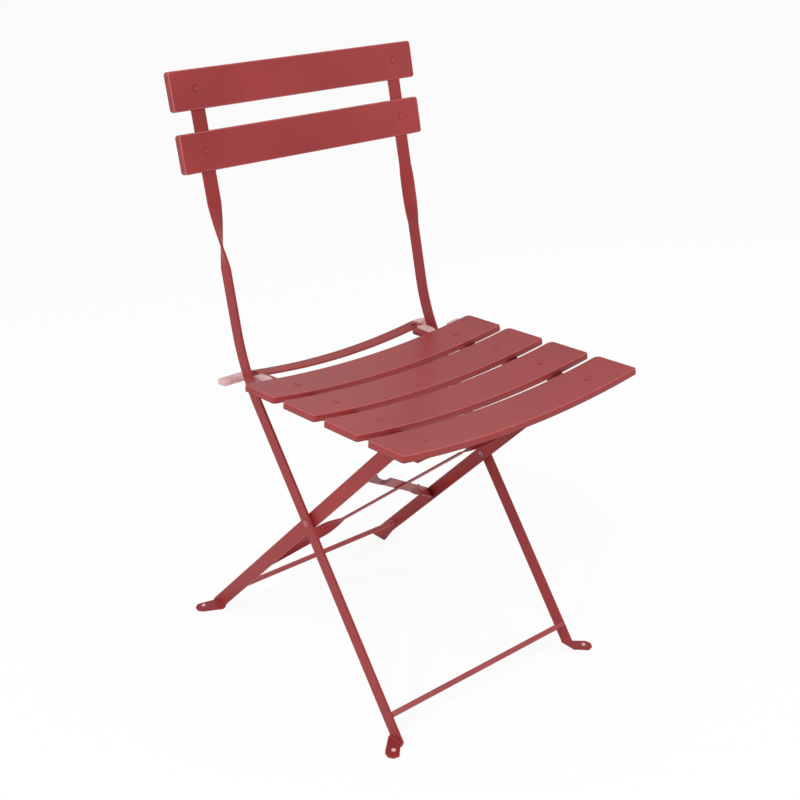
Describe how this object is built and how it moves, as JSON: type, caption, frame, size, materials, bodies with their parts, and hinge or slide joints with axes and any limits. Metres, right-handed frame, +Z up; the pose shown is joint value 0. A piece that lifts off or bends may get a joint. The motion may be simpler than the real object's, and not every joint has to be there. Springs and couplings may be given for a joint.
{
  "type": "folding metal bistro chair",
  "caption": "Red painted steel folding bistro chair with slatted seat and back, flat bar legs that cross at a pivot, and a braced rear leg frame.",
  "frame": {"origin": "on the floor, in the middle of the chair's outline", "axes": "+Z up, +Y towards the back of the chair, +X to the right of someone who looks from the front towards the back"},
  "size_m": [0.4126, 0.513, 0.8319],
  "materials": {
    "red_paint": "satin brick-red powder coat",
    "rivet_paint": "powder-coated rivet heads, slightly glossier",
    "washer_steel": "painted spacing washers",
    "clear_plastic": "translucent soft plastic"
  },
  "bodies": {
    "back_frame": {"right_back_leg": "red_paint", "left_back_leg": "red_paint", "top_back_slat": "red_paint", "lower_back_slat": "red_paint", "back_slat_rivets": "rivet_paint", "front_stretcher_rod": "red_paint", "right_pivot_rivet": "rivet_paint", "left_pivot_rivet": "rivet_paint", "pivot_washers": "washer_steel"},
    "rear_legs": {"right_rear_leg": "red_paint", "left_rear_leg": "red_paint", "rear_stretcher_rod": "red_paint", "lower_brace_strap": "red_paint", "upper_brace_strap": "red_paint", "seat_pivot_washers": "washer_steel", "seat_pivot_rivets": "rivet_paint"},
    "seat": {"right_seat_rail": "red_paint", "left_seat_rail": "red_paint", "seat_slat_rear": "red_paint", "seat_slat_second": "red_paint", "seat_slat_third": "red_paint", "seat_slat_front": "red_paint", "seat_slat_rivets": "rivet_paint", "rear_crossbar": "red_paint", "crossbar_rivets": "rivet_paint", "right_guide_cap": "clear_plastic", "left_guide_cap": "clear_plastic", "edge_bumper": "clear_plastic"}
  },
  "joints": [
    {"name": "leg_crossing", "type": "hinge", "parent": "back_frame", "child": "rear_legs", "pos_m": [0, -0.0119, 0.2544], "axis": [-1, 0, 0], "range_deg": [0, 50]},
    {"name": "seat_pivot", "type": "hinge", "parent": "rear_legs", "child": "seat", "pos_m": [0, -0.18514, 0.42764], "axis": [1, 0, 0], "range_deg": [0, 99]}
  ],
  "couplings": [
    {"joint": "seat_pivot", "follows": "leg_crossing", "ratio": 1.97}
  ]
}
